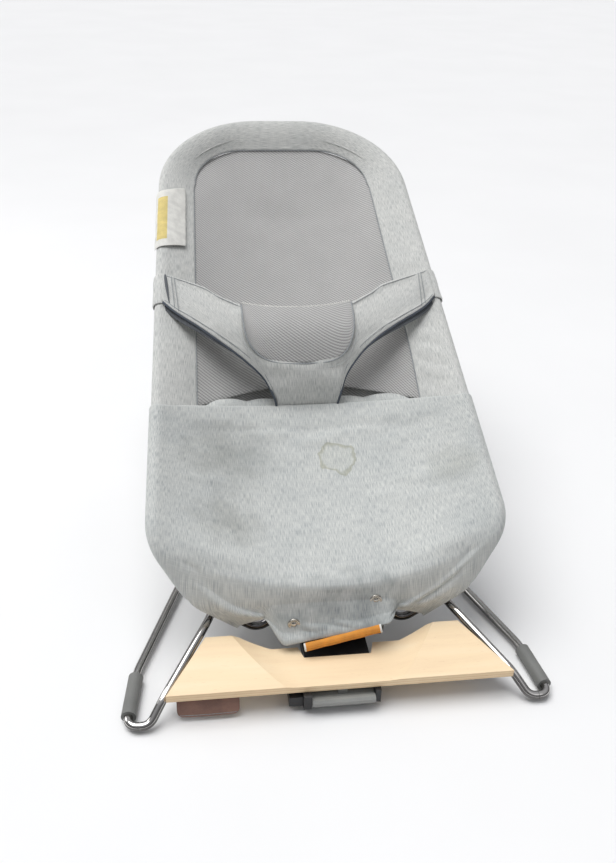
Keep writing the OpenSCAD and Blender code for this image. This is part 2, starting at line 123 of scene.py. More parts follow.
def lengths(path):
    return np.concatenate([[0], np.cumsum(np.linalg.norm(np.diff(path, axis=0), axis=1))])


def along(path, at):
    """The point at distance `at` along a path, and the direction there."""
    far = lengths(path)

    def point(d):
        return np.array([np.interp(d, far, path[:, k]) for k in range(3)])

    return point(at), unit(point(min(far[-1], at + 2)) - point(max(0, at - 2)))


def spline(knots, values, t):
    """A smooth curve through values at knots, by cubic pieces with even slopes."""
    i = int(np.clip(np.searchsorted(knots, t) - 1, 0, len(knots) - 2))
    span = knots[i + 1] - knots[i]

    def slope(k):
        low, high = max(0, k - 1), min(len(knots) - 1, k + 1)
        return (values[high] - values[low]) / (knots[high] - knots[low])

    f = (t - knots[i]) / span
    return (
        (2 * f**3 - 3 * f**2 + 1) * values[i]
        + (f**3 - 2 * f**2 + f) * span * slope(i)
        + (3 * f**2 - 2 * f**3) * values[i + 1]
        + (f**3 - f**2) * span * slope(i + 1)
    )


def ripple(x, y, seed=0.0):
    """An even, repeatable unevenness between about -1 and 1."""
    return (
        math.sin(x * 1.0 + y * 0.37 + seed)
        + math.sin(x * 0.53 - y * 0.91 + 1.7 * seed + 1)
        + math.sin(x * 1.71 + y * 1.27 + 2.3 * seed + 2)
    ) / 3


# ---------- meshes ----------


def make_object(name, vertices, faces, uvs=None, smooth_faces=True):
    mesh = bpy.data.meshes.new(name)
    mesh.from_pydata([tuple(float(c) * MM for c in v) for v in vertices], [], faces)
    mesh.validate()
    if uvs is not None:
        layer = mesh.uv_layers.new(name="cloth")
        for loop in mesh.loops:
            layer.data[loop.index].uv = uvs[loop.vertex_index]
    for face in mesh.polygons:
        face.use_smooth = smooth_faces
    made = bpy.data.objects.new(name, mesh)
    bpy.context.scene.collection.objects.link(made)
    return made


def grid(name, rows, closed=False):
    """A surface through rows of points, with its size in metres as its UV map."""
    p = np.array(rows, float)
    count, across = p.shape[:2]
    middle = across // 2
    steps_u = np.linalg.norm(np.diff(p, axis=1), axis=2)
    u = np.concatenate([np.zeros((count, 1)), np.cumsum(steps_u, axis=1)], axis=1)
    u -= u[:, middle : middle + 1]
    v = lengths(p[:, middle])
    uvs = [(u[j, i] * MM, v[j] * MM) for j in range(count) for i in range(across)]
    faces = []
    for j in range(count - 1):
        for i in range(across if closed else across - 1):
            k = (i + 1) % across
            faces.append((j * across + i, j * across + k, (j + 1) * across + k, (j + 1) * across + i))
    return make_object(name, p.reshape(-1, 3), faces, uvs)


def thicken(made, thickness, offset=-1.0, levels=1):
    solid = made.modifiers.new("thickness", "SOLIDIFY")
    solid.thickness = thickness * MM
    solid.offset = offset
    solid.use_even_offset = False
    if levels:
        sub = made.modifiers.new("round", "SUBSURF")
        sub.levels = levels
        sub.render_levels = levels
    return made


def tube(name, path, radius, sides=10):
    """A round tube along a path of points, closed at both ends."""
    path = np.array(path, float)
    rings = []
    up = vec(0.13, 0.21, 0.97)
    for i, p in enumerate(path):
        way = unit(path[min(i + 1, len(path) - 1)] - path[max(i - 1, 0)])
        side = unit(np.cross(way, up))
        other = np.cross(side, way)
        up = other
        r = radius[i] if hasattr(radius, "__len__") else radius
        turns = [2 * math.pi * k / sides for k in range(sides)]
        rings.append([p + r * (math.cos(a) * side + math.sin(a) * other) for a in turns])
    made = grid(name, rings, closed=True)
    mesh = made.data
    faces = [tuple(f.vertices) for f in mesh.polygons]
    last = (len(path) - 1) * sides
    faces.append(tuple(reversed(range(sides))))
    faces.append(tuple(last + k for k in range(sides)))
    made.name = name + "_open"
    points = [np.array(v.co) / MM for v in mesh.vertices]
    bpy.data.objects.remove(made)
    return make_object(name, points, faces)


def lathe(name, profile, centre, axis, sides=32):
    """A turned shape: profile is (radius, height) from the foot to the tip."""
    axis = unit(np.array(axis, float))
    side = unit(np.cross(axis, vec(0.3, 0.1, 0.9)))
    other = np.cross(axis, side)
    turns = [2 * math.pi * k / sides for k in range(sides)]
    rings = [
        [centre + axis * h + r * (math.cos(a) * side + math.sin(a) * other) for a in turns]
        for r, h in profile
    ]
    return grid(name, rings, closed=True)


def settle(made, pins, frames, cap, growth):
    """Lets a sheet move as cloth, held at its pinned points, and keeps the result."""
    before = np.array([v.co for v in made.data.vertices])
    group = made.vertex_groups.new(name="pin")
    for index, weight in pins:
        group.add([int(index)], float(weight), "REPLACE")
    cloth = made.modifiers.new("cloth", "CLOTH")
    cloth.settings.quality = 6
    cloth.settings.mass = 0.25
    cloth.settings.tension_stiffness = 25
    cloth.settings.compression_stiffness = 25
    cloth.settings.shear_stiffness = 8
    cloth.settings.bending_stiffness = 1.2
    cloth.settings.vertex_group_mass = "pin"
    cloth.settings.shrink_min = -growth
    cloth.settings.effector_weights.gravity = 0.15
    cloth.point_cache.frame_start = 1
    cloth.point_cache.frame_end = frames
    scene = bpy.context.scene
    for f in range(1, frames + 1):
        scene.frame_set(f)
    graph = bpy.context.evaluated_depsgraph_get()
    mesh = made.evaluated_get(graph).to_mesh()
    after = np.array([v.co for v in mesh.vertices])
    made.evaluated_get(graph).to_mesh_clear()
    made.modifiers.remove(cloth)
    made.vertex_groups.clear()
    scene.frame_set(1)
    move = after - before
    far = np.linalg.norm(move, axis=1)
    move *= np.minimum(1.0, cap * MM / np.maximum(far, 1e-9))[:, None]
    for v, p in zip(made.data.vertices, before + move):
        v.co = p
    return made


def paint(made, *materials):
    made.data.materials.clear()
    for m in materials:
        made.data.materials.append(m)
    return made


# ---------- materials ----------


class Look:
    """A node material with short ways to add what a surface needs."""

    def __init__(self, name, colour, roughness, metallic=0.0):
        self.material = bpy.data.materials.new(name)
        self.material.use_nodes = True
        self.tree = self.material.node_tree
        self.shader = self.tree.nodes["Principled BSDF"]
        self.shader.inputs["Base Color"].default_value = (*colour, 1)
        self.shader.inputs["Roughness"].default_value = roughness
        self.shader.inputs["Metallic"].default_value = metallic
        self.bump_from = None

    def node(self, kind, **values):
        made = self.tree.nodes.new("ShaderNode" + kind)
        for key, value in values.items():
            setattr(made, key, value)
        return made

    def link(self, a, b):
        self.tree.links.new(a, b)

    def cloth_uv(self, turn=0.0, scale=(1, 1, 1)):
        source = self.node("UVMap", uv_map="cloth")
        return self.mapped(source.outputs["UV"], turn, scale)

    def place(self, turn=0.0, scale=(1, 1, 1)):
        source = self.node("TexCoord")
        return self.mapped(source.outputs["Object"], turn, scale)

    def mapped(self, socket, turn, scale):
        mapping = self.node("Mapping")
        mapping.inputs["Rotation"].default_value = (0, 0, turn)
        mapping.inputs["Scale"].default_value = scale
        self.link(socket, mapping.inputs["Vector"])
        return mapping.outputs["Vector"]

    def noise(self, vector, scale, detail=3.0, rough=0.5):
        made = self.node("TexNoise")
        made.inputs["Scale"].default_value = scale
        made.inputs["Detail"].default_value = detail
        made.inputs["Roughness"].default_value = rough
        self.link(vector, made.inputs["Vector"])
        return made.outputs["Fac"]

    def math(self, kind, a, b=None):
        made = self.node("Math", operation=kind)
        for slot, value in enumerate((a, b)):
            if value is None:
                continue
            if isinstance(value, (int, float)):
                made.inputs[slot].default_value = value
            else:
                self.link(value, made.inputs[slot])
        return made.outputs[0]

    def waves(self, vector, pitch, axis="X"):
        """0 to 1 and back once every pitch, in metres, along one axis."""
        split = self.node("SeparateXYZ")
        self.link(vector, split.inputs[0])
        turned = self.math("MULTIPLY", split.outputs[axis], 2 * math.pi / pitch)
        return self.math("MULTIPLY_ADD", self.math("SINE", turned), 0.5)

    def ramp(self, fac, *stops):
        made = self.node("ValToRGB")
        ramp = made.color_ramp
        ramp.elements[0].position, ramp.elements[0].color = stops[0][0], (*stops[0][1], 1)
        ramp.elements[1].position, ramp.elements[1].color = stops[-1][0], (*stops[-1][1], 1)
        for position, colour in stops[1:-1]:
            ramp.elements.new(position).color = (*colour, 1)
        self.link(fac, made.inputs[0])
        return made.outputs["Color"]

    def blend(self, kind, fac, a, b):
        made = self.node("Mix", data_type="RGBA", blend_type=kind)
        for socket, value in ((made.inputs[0], fac), (made.inputs[6], a), (made.inputs[7], b)):
            if isinstance(value, (int, float)):
                socket.default_value = value
            elif isinstance(value, tuple):
                socket.default_value = (*value, 1)
            else:
                self.link(value, socket)
        return made.outputs[2]

    def mark(self, place, radius, kind, tone):
        """A darker patch around a place of the cloth: a soft stain or painted shade, or the rim that a
        dried drop leaves.
        """
        uneven = self.node("TexNoise")
        uneven.inputs["Scale"].default_value = 45
        uv = self.cloth_uv()
        self.link(uv, uneven.inputs["Vector"])
        gap = self.node("VectorMath", operation="DISTANCE")
        self.link(uv, gap.inputs[0])
        gap.inputs[1].default_value = (*place, 0)
        bent = self.math("MULTIPLY_ADD", uneven.outputs["Fac"], radius * 1.1)
        bent.node.inputs[2].default_value = -radius * 0.55
        far = self.math("DIVIDE", self.math("ADD", gap.outputs["Value"], bent), radius)
        # The soft kind serves both for stains and for painted shade.
        if kind == "smudge_and_shade":
            return self.ramp(far, (0.1, tone), (1.0, (1, 1, 1)))
        return self.ramp(far, (0.78, (0.98, 0.98, 0.96)), (0.90, tone), (0.96, tone), (1.08, (1, 1, 1)))

    def colour(self, socket):
        self.link(socket, self.shader.inputs["Base Color"])

    def rough(self, fac, low, high):
        made = self.node("MapRange")
        made.inputs["To Min"].default_value = low
        made.inputs["To Max"].default_value = high
        self.link(fac, made.inputs["Value"])
        self.link(made.outputs[0], self.shader.inputs["Roughness"])

    def bump(self, height, distance, strength=1.0):
        made = self.node("Bump")
        made.inputs["Strength"].default_value = strength
        made.inputs["Distance"].default_value = distance
        self.link(height, made.inputs["Height"])
        if self.bump_from is not None:
            self.link(self.bump_from, made.inputs["Normal"])
        self.bump_from = made.outputs["Normal"]
        self.link(self.bump_from, self.shader.inputs["Normal"])


def weave_look(name, light, dark, stain=0.5, marks=()):
    """Melange plain weave: pale threads with short darker flecks along the warp."""
    look = Look(name, light, 0.85)
    flecks = look.noise(look.cloth_uv(scale=(1, 0.05, 1)), 1900, 1.0, 0.5)
    streaks = look.noise(look.cloth_uv(scale=(0.08, 1, 1)), 900, 2.0, 0.6)
    base = look.ramp(flecks, (0.34, dark), (0.58, light))
    shade = look.ramp(streaks, (0.3, (0.90, 0.91, 0.92)), (0.62, (1, 1, 1)))
    base = look.blend("MULTIPLY", 0.75, base, shade)
    patches = look.noise(look.cloth_uv(), 14, 4.0, 0.6)
    worn = look.ramp(patches, (0.3, (0.80, 0.82, 0.84)), (0.55, (1, 1, 1)))
    base = look.blend("MULTIPLY", stain, base, worn)
    for place, radius, kind, tone in marks:
        base = look.blend("MULTIPLY", 1.0, base, look.mark(place, radius, kind, tone))
    look.colour(base)
    warp = look.waves(look.cloth_uv(), 0.0011, "X")
    weft = look.waves(look.cloth_uv(), 0.0011, "Y")
    look.bump(look.math("MULTIPLY", warp, weft), 0.00025, 0.6)
    look.bump(flecks, 0.0002, 0.5)
    look.rough(flecks, 0.78, 0.95)
    look.shader.inputs["Sheen Weight"].default_value = 0.25
    look.shader.inputs["Sheen Roughness"].default_value = 0.5
    return look.material


def mesh_look(name, light, dark, pitch=0.0034):
    """Spacer mesh: slanting rows of small holes between soft ribs."""
    look = Look(name, light, 0.9)
    rows = look.waves(look.cloth_uv(turn=math.radians(38)), pitch, "Y")
    holes = look.waves(look.cloth_uv(turn=math.radians(-22)), pitch * 0.9, "Y")
    both = look.math("MULTIPLY", look.math("POWER", rows, 0.7), look.math("MULTIPLY_ADD", holes, 0.45))
    uneven = look.noise(look.cloth_uv(), 18, 3.0, 0.5)
    base = look.ramp(both, (0.12, dark), (0.55, light))
    shade = look.ramp(uneven, (0.3, (0.9, 0.9, 0.9)), (0.6, (1, 1, 1)))
    look.colour(look.blend("MULTIPLY", 0.6, base, shade))
    look.bump(both, 0.0009, 0.7)
    look.rough(uneven, 0.82, 0.96)
    look.shader.inputs["Sheen Weight"].default_value = 0.2
    return look.material


def darker(colour, share):
    return tuple(share * c for c in colour)


def metal_look(name, colour, roughness, spots=0.06, streaky=False):
    """Polished or plated metal. A streaky one has light and dark bands, by the way its surface faces.

    The bands stand in for what a polished rod mirrors, so they don't follow the scene's light.
    """
    look = Look(name, colour, roughness, metallic=1.0)
    fine = look.noise(look.place(), 240, 4.0, 0.6)
    broad = look.noise(look.place(), 16, 3.0, 0.5)
    tone = look.ramp(broad, (0.3, darker(colour, 0.82)), (0.65, colour))
    pits = look.ramp(fine, (0.22, (0.45, 0.42, 0.4)), (0.3, (1, 1, 1)))
    tone = look.blend("MULTIPLY", spots * 8, tone, pits)
    if streaky:
        geometry = look.node("NewGeometry")
        split = look.node("SeparateXYZ")
        look.link(geometry.outputs["Normal"], split.inputs[0])
        facing = look.math("MULTIPLY_ADD", split.outputs["Z"], 0.5)
        dark, mid, full = (0.10, 0.10, 0.105), (0.45, 0.45, 0.45), (1, 1, 1)
        stops = ((0.2, mid), (0.5, dark), (0.62, dark), (0.72, full), (0.82, mid), (0.9, full))
        bands = look.ramp(facing, *stops)
        tone = look.blend("MULTIPLY", 0.9, tone, bands)
    look.colour(tone)
    look.rough(fine, roughness * 0.7, roughness * 1.5)
    look.bump(fine, 0.00006, 0.3)
    return look.material


def plastic_look(name, colour, roughness, grain=900):
    look = Look(name, colour, roughness)
    fine = look.noise(look.place(), grain, 2.0, 0.5)
    broad = look.noise(look.place(), 30, 3.0, 0.55)
    tone = look.ramp(broad, (0.3, darker(colour, 0.8)), (0.7, colour))
    specks = look.ramp(fine, (0.3, (0.8, 0.8, 0.8)), (0.6, (1, 1, 1)))
    look.colour(look.blend("MULTIPLY", 0.4, tone, specks))
    look.rough(fine, roughness * 0.8, min(1.0, roughness * 1.25))
    look.bump(fine, 0.00012, 0.5)
    return look.material


def wood_look():
    """Pale beech ply: long soft grain across the board, short pores, layers at the edge."""
    look = Look("beech", (0.8, 0.6, 0.38), 0.5)
    grain = look.noise(look.place(scale=(1, 10, 10)), 6, 5.0, 0.55)
    pores = look.noise(look.place(scale=(1, 9, 9)), 130, 2.0, 0.5)
    growth = ((0.25, (0.86, 0.65, 0.42)), (0.5, (0.92, 0.72, 0.47)), (0.75, (0.94, 0.765, 0.53)))
    base = look.ramp(grain, *growth)
    specks = look.ramp(pores, (0.24, (0.62, 0.42, 0.26)), (0.34, (1, 1, 1)))
    base = look.blend("MULTIPLY", 0.3, base, specks)
    # The layers show where the surface stands upright.
    geometry = look.node("NewGeometry")
    tilt = look.node("SeparateXYZ")
    look.link(geometry.outputs["True Normal"], tilt.inputs[0])
    upright = look.math("LESS_THAN", look.math("ABSOLUTE", tilt.outputs["Z"]), 0.55)
    layers = look.waves(look.place(), 0.0036, "Z")
    stripes = look.ramp(layers, (0.35, (0.84, 0.74, 0.62)), (0.6, (0.98, 0.95, 0.9)))
    look.colour(look.blend("MULTIPLY", look.math("MULTIPLY", upright, 0.6), base, stripes))
    look.rough(grain, 0.38, 0.6)
    look.bump(grain, 0.00025, 0.35)
    look.bump(pores, 0.00012, 0.3)
    look.shader.inputs["Coat Weight"].default_value = 0.15
    look.shader.inputs["Coat Roughness"].default_value = 0.35
    return look.material


def leather_look(name, colour):
    look = Look(name, colour, 0.55)
    cells = look.node("TexVoronoi", feature="F1")
    cells.inputs["Scale"].default_value = 900
    look.link(look.place(), cells.inputs["Vector"])
    broad = look.noise(look.place(), 60, 4.0, 0.6)
    look.colour(look.ramp(broad, (0.3, darker(colour, 0.7)), (0.68, colour)))
    look.bump(cells.outputs["Distance"], 0.0004, 0.6)
    look.rough(broad, 0.42, 0.7)
    return look.material


def thread_look(name, colour, pitch=0.0028):
    """Sewing thread or a woven tape, with a twist along it."""
    look = Look(name, colour, 0.8)
    twist = look.waves(look.place(turn=0.7), pitch, "X")
    broad = look.noise(look.place(), 90, 2.0, 0.5)
    tone = look.ramp(broad, (0.3, darker(colour, 0.8)), (0.7, colour))
    strands = look.ramp(twist, (0.2, (0.75, 0.75, 0.75)), (0.6, (1, 1, 1)))
    look.colour(look.blend("MULTIPLY", 0.5, tone, strands))
    look.bump(twist, 0.0003, 0.6)
    look.rough(broad, 0.7, 0.9)
    return look.material


WEAVE_LIGHT = (0.66, 0.67, 0.64)
WEAVE_DARK = (0.42, 0.44, 0.44)
LEG_STAINS_AND_SHADE = [
    ((0.03, 0.106), 0.024, "ring", (0.78, 0.77, 0.68)),
    ((-0.11, 0.10), 0.07, "smudge_and_shade", (0.72, 0.72, 0.71)),
    ((-0.115, 0.21), 0.05, "smudge_and_shade", (0.74, 0.74, 0.73)),
    ((0.165, 0.15), 0.04, "smudge_and_shade", (0.84, 0.84, 0.82)),
    # This one is no stain but painted shade: it darkens the flap, which the scene's light leaves too
    # pale.
    ((0.02, 0.385), 0.12, "smudge_and_shade", (0.40, 0.425, 0.44)),
]
LOOKS = {
    "weave": weave_look("melange_weave", WEAVE_LIGHT, WEAVE_DARK, 0.5),
    "weave_leg": weave_look("melange_weave_leg", WEAVE_LIGHT, WEAVE_DARK, 0.6, LEG_STAINS_AND_SHADE),
    "weave_pale": weave_look("melange_weave_pale", (0.70, 0.70, 0.67), (0.45, 0.46, 0.445), 0.4),
    "mesh": mesh_look("spacer_mesh", (0.55, 0.545, 0.535), (0.32, 0.315, 0.31)),
    "lining": weave_look("dark_lining", (0.12, 0.13, 0.14), (0.07, 0.075, 0.085), 0.3),
    "binding": thread_look("navy_binding", (0.09, 0.105, 0.13), 0.0016),
    "thread": thread_look("pale_thread", (0.62, 0.64, 0.64)),
    "thread_dark": thread_look("grey_thread", (0.36, 0.38, 0.39)),
    "chrome": metal_look("chrome", (0.66, 0.64, 0.62), 0.08, streaky=True),
    "dark_chrome": metal_look("dark_chrome", (0.32, 0.31, 0.31), 0.14, streaky=True),
    "steel": metal_look("zinc_steel", (0.56, 0.56, 0.55), 0.32, 0.08),
    "nickel": metal_look("nickel_snap", (0.50, 0.47, 0.42), 0.25),
    "rubber": plastic_look("grey_rubber", (0.21, 0.213, 0.203), 0.6, 700),
    "black": plastic_look("black_plastic", (0.018, 0.018, 0.02), 0.42),
    "grey": plastic_look("grey_plastic", (0.33, 0.335, 0.32), 0.45),
    "disc": plastic_look("disc_plastic", (0.10, 0.105, 0.11), 0.45),
    "wood": wood_look(),
    "leather": leather_look("brown_leather", (0.27, 0.15, 0.115)),
    "orange": thread_look("orange_tape", (0.80, 0.32, 0.045), 0.0012),
    "white": thread_look("white_tape", (0.90, 0.89, 0.84), 0.0012),
    "yellow": thread_look("yellow_tape", (0.86, 0.70, 0.27), 0.0012),
}


def finish_piece(made, look, body, *nodes):
    """Gives a new piece its looks, its body and the CAD nodes that it stands for."""
    looks = look if isinstance(look, tuple) else (look,)
    paint(made, *[LOOKS[k] for k in looks])
    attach(made, body)
    if nodes:
        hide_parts(*nodes)
    return made


# ---------- the seat's edges ----------

side_route = bent_path(
    [
        seat(rail_w(SEAM_U), SEAM_U, 0),
        seat(rail_w(-50), -50, 0),
        vec(152, HUB_Y + 2, HUB_Z + 34),
        vec(84, HUB_Y, HUB_Z - 13),
    ],
    [0, 42, 45, 0],
)
# The cover ends this far before the bare rod dips towards the hub.
side_len = lengths(side_route)[-1] - 24
CREASE_SHARE = 0.60
ridge_mid = seat(0, 162, -56)
profile = bent_path(
    [ridge_mid, vec(0, HUB_Y - 19, HUB_Z + 61), vec(0, HUB_Y - 25, HUB_Z + 30)],
    [0, 13, 0],
    2,
)
profile_len = lengths(profile)[-1]
CREASE_AT = profile_len - 31


def flip(p):
    return p * vec(-1, 1, 1)


def side_frame(t):
    """Rod centre, outward and upward directions on the right side, t from seam to front."""
    p, way = along(side_route, t * side_len)
    facing = mix(UP, vec(0, -1, 0.06), smooth(t, 0.40, 0.74))
    normal = unit(facing - way * (facing @ way))
    return p, unit(np.cross(normal, way)), normal


def middle_point(t):
    if t < CREASE_SHARE:
        d = t / CREASE_SHARE * CREASE_AT
        sag = 9 * math.sin(math.pi * t / CREASE_SHARE)
    else:
        d = mix(CREASE_AT, profile_len, (t - CREASE_SHARE) / (1 - CREASE_SHARE))
        sag = 0
    return along(profile, d)[0] - UP * sag


FLAP_SKEW = 0.18
FLAP_FROM = 0.86


def flap_share(x):
    """1 where the flap hangs below the cover's lower edge, 0 beside it."""
    return 1 - (smooth(-x, 58, 78) if x < 0 else smooth(x, 60, 70))


def flap_end(x):
    """The flap's lower edge; its right corner is pulled up."""
    return vec(x * 0.97, HUB_Y - 43, HUB_Z + 8 + FLAP_SKEW * x)


def leg_row(t, across=80):
    """One row of the leg cover: around the left rod, across the middle, around the right rod."""
    p, out, normal = side_frame(t)
    centre = middle_point(t)
    drop = float((p + WRAP_R * normal - centre) @ normal)
    lean = math.atan2(4 * max(0.0, drop), 2 * p[0])
    # Low down, where the spring arm passes close behind, the cloth only covers the rod's front.
    bare = smooth(t, 0.70, 0.80)
    begin = mix(-math.pi / 2, 1.15, bare)
    wrap = []
    for inward in (26, 17, 9, 3):
        hem = out * (mix(-1, 0.08, bare) * inward) + normal * (0.10 * inward * (1 - bare))
        wrap.append(p + WRAP_R * (math.cos(begin) * out + math.sin(begin) * normal) + hem)
    for k in range(11):
        a = mix(begin, math.pi / 2 + lean, k / 10)
        wrap.append(p + WRAP_R * (math.cos(a) * out + math.sin(a) * normal))
    right = wrap[-1]
    left = flip(right)
    power = mix(2.0, 2.6, smooth(t, 0.5, 0.8))
    inner = []
    for i in range(1, across):
        s = i / across
        bump = 1 - abs(2 * s - 1) ** power
        q = mix(left, right, s) + (centre - (left + right) / 2) * bump
        edge = 1 - abs(2 * s - 1) ** 4
        q = q + UP * 0.7 * edge * ripple(q[0] * 0.03, t * 9)
        hang = max(0.0, t - FLAP_FROM) / (1 - FLAP_FROM)
        q = mix(q, flap_end(q[0]) - vec(0, 1.5 * math.sin(math.pi * hang), 0), flap_share(q[0]) * hang)
        inner.append(q)
    return [flip(q) for q in wrap] + inner + list(reversed(wrap))


WRAP_COLS = 15
shares = [FLAP_FROM * j / 54 for j in range(54)] + [mix(FLAP_FROM, 1, j / 18) for j in range(19)]
leg_rows = [leg_row(t) for t in shares]
# The top edge is folded over and sewn down behind.
first, second = np.array(leg_rows[0]), np.array(leg_rows[1])
fold_rows = []
for a in (180, 150, 120, 90, 60, 30):
    turn = math.radians(a)
    ahead = np.array([unit(v) for v in first - second])
    row = first + ahead * (2.6 * math.sin(turn)) - UP * (2.6 * (1 - math.cos(turn)))
    fold_rows.append(row)
behind = [fold_rows[0] - np.array([unit(v) for v in first - second]) * d for d in (14, 7)]
leg_rows = behind + fold_rows + leg_rows

leg_cover = grid("leg_cover", leg_rows)
columns = len(leg_rows[0])
pins = []
for j in range(len(leg_rows)):
    for i in range(columns):
        side = min(i, columns - 1 - i) - WRAP_COLS
        hold = max(0.0, 1 - side / 5) if side > 0 else 1.0
        ends = max(0.0, 1 - (j - 8) / 5, 1 - (len(leg_rows) - 1 - j) / 4)
        pins.append((j * columns + i, min(1.0, max(hold, ends))))
settle(leg_cover, pins, frames=14, cap=5, growth=0.010)
thicken(leg_cover, 2.2, offset=-1)
finish_piece(leg_cover, "weave_leg", "seat", "leg_panel", "front_flap")


# ---------- back rim ----------


# How the way round the rim is shared out, from its low end (0) to the middle of the head (0.5).
RAIL_SHARE = 0.34
BEND_SHARE = 0.1
BEND_END = 0.44
TOP_SHARE = 0.06


def head_path():
    """The rod's centre line in (x, u), from the right seam over the head to its middle."""
    lean = math.atan(TAPER)
    low_x = 192 - TAPER * (RAIL_LEN - HEAD_R) - HEAD_R / math.cos(lean)
    low_u = SEAM_U - 12
    points = []
    turn_u = RAIL_LEN - HEAD_R + HEAD_R * math.sin(lean)
    for k in range(42):
        u = mix(low_u, turn_u, k / 42)
        points.append((rail_w(u), u, (k / 42) * RAIL_SHARE))
    for k in range(17):
        a = mix(lean, math.pi / 2, k / 16)
        u = RAIL_LEN - HEAD_R + HEAD_R * math.sin(a)
        points.append((low_x + HEAD_R * math.cos(a), u, RAIL_SHARE + BEND_SHARE * k / 16))
    for k in range(1, 9):
        points.append((low_x * (1 - k / 8), RAIL_LEN, BEND_END + TOP_SHARE * k / 8))
    return points


def inner_edge(m):
    """The mesh panel's edge in (x, u) for the same share m of the way round."""
    top_w = mesh_w(MESH_TOP_U)
    if m < RAIL_SHARE:
        u = mix(SEAM_U - 12, MESH_TOP_U - MESH_R, m / RAIL_SHARE)
        return mesh_w(u), u
    if m < BEND_END:
        a = math.pi / 2 * (m - RAIL_SHARE) / BEND_SHARE
        return top_w - MESH_R + MESH_R * math.cos(a), MESH_TOP_U - MESH_R + MESH_R * math.sin(a)
    return (top_w - MESH_R) * (0.5 - m) / TOP_SHARE, MESH_TOP_U


def edge_depth(u):
    return -14 - 10 * (1 - smooth(u, 130, 230))


def rim_row(x, u, m, pull=0.0):
    """Across the band at one place: hem behind, round the rod, padded band, tucked edge."""
    ix, iu = inner_edge(m)
    out2 = np.array([0.0, 1.0])
    if m < RAIL_SHARE:
        out2 = np.array([1.0, TAPER])
    elif m < BEND_END:
        a = math.pi / 2 * (m - RAIL_SHARE) / BEND_SHARE
        out2 = np.array([math.cos(a), math.sin(a)])
    out = out2[0] * vec(1, 0, 0) + out2[1] * ALONG
    p = seat(x, u, 0)
    row = []
    for inward in (24, 16, 9, 3):
        row.append(p - WRAP_R * UP - out * inward + UP * 0.12 * inward)
    lean = 0.34
    for k in range(11):
        a = mix(-math.pi / 2, math.pi / 2 + lean, k / 10)
        row.append(p + WRAP_R * (math.cos(a) * out + math.sin(a) * UP))
    start = row[-1]
    end = seat(ix, iu, edge_depth(iu))
    way = end - start
    for k in range(1, 10):
        s = k / 10
        crown = 3.2 * math.sin(math.pi * min(1, s * 1.06)) ** 0.8 if s < 0.94 else 0.0
        dent = 0.5 * ripple(u * 0.045 + 3, s * 3 + x * 0.01)
        crown += pull * math.sin(u * 0.21 - s * 5.5) * math.sin(math.pi * s)
        row.append(start + way * s + UP * (crown + dent * math.sin(math.pi * s)))
    row.append(end + UP * 0.8 - out * 0.2)
    row.append(end - UP * 1.6 + out * 0.6)
    row.append(end - UP * 3.4 + out * 6)
    return row


def wrinkle(u, high):
    """Where the strap's pull wrinkles the band, and by how much."""
    return high * smooth(u, 135, 165) * (1 - smooth(u, 235, 270))


half_rows = [rim_row(x, u, m, wrinkle(u, 2.6)) for x, u, m in head_path()]
left_rows = [rim_row(x, u, m, wrinkle(u, 0.5)) for x, u, m in head_path()[:-1]]
rim_rows = half_rows + [[flip(q) for q in row] for row in reversed(left_rows)]
back_cover = grid("back_cover", rim_rows)
rim_cols = len(rim_rows[0])
rim_pins = []
for j in range(len(rim_rows)):
    for i in range(rim_cols):
        from_end = min(j, len(rim_rows) - 1 - j)
        loose = 15 < i < rim_cols - 4 and 15 < from_end < 40
        rim_pins.append((j * rim_cols + i, 0.0 if loose else 1.0))
settle(back_cover, rim_pins, frames=10, cap=1.5, growth=0.008)
thicken(back_cover, 2.2, offset=1)
finish_piece(back_cover, "weave_pale", "seat", "back_rim", "hem_left", "hem_right", "hem_head")

# The dark seam line between the band and the mesh.
seam_points = [seat(ix, iu, edge_depth(iu) - 0.6) for ix, iu in (inner_edge(k / 120) for k in range(61))]
seam_points += [flip(q) for q in reversed(seam_points[:-1])]
seam_line = tube("mesh_seam", seam_points, 0.9, 6)
finish_piece(seam_line, "thread_dark", "seat")


# ---------- mesh panel and pocket ----------


def mesh_edge(x):
    return MESH_LOW_U + 62 * (1 - (x / 140) ** 2)


def mesh_half(u):
    w = mesh_w(u)
    if u < MESH_TOP_U - MESH_R:
        return w
    return w - MESH_R + math.sqrt(max(0.0, MESH_R**2 - (u - MESH_TOP_U + MESH_R) ** 2))


def mesh_at(x, u):
    depth = 52 - 32 * (u - MESH_LOW_U) / (MESH_TOP_U - MESH_LOW_U)
    lift = min(1.0, max(0.0, MESH_TOP_U - u) / 120) ** 0.6
    side = min(1.0, abs(x) / mesh_w(u))
    return seat(x, u, edge_depth(u) - 1.2 - depth * lift * (1 - side**2.2))


mesh_rows = []
for j in range(61):
    t = j / 60
    row = []
    for i in range(57):
        side = math.sin(math.pi / 2 * mix(-1, 1, i / 56)) * 0.5 + mix(-1, 1, i / 56) * 0.5
        low = mesh_edge(side * 140) - 8
        u = mix(low, MESH_TOP_U + 2, 1 - (1 - t) ** 1.7)
        half = mesh_half(min(u, MESH_TOP_U - 0.3)) + 3
        row.append(mesh_at(side * half, min(u, MESH_TOP_U - 0.1)) if u < MESH_TOP_U else
                   seat(side * half, u, edge_depth(u) - 1.4))
    mesh_rows.append(row)
mesh_panel = grid("mesh_panel", mesh_rows)
thicken(mesh_panel, 2.4, offset=-1, levels=1)
finish_piece(mesh_panel, "mesh", "seat", "back_mesh")


def ridge(x):
    k = (x / 177) ** 2
    return seat(x, 162 - 38 * k, -56 + 60 * k)


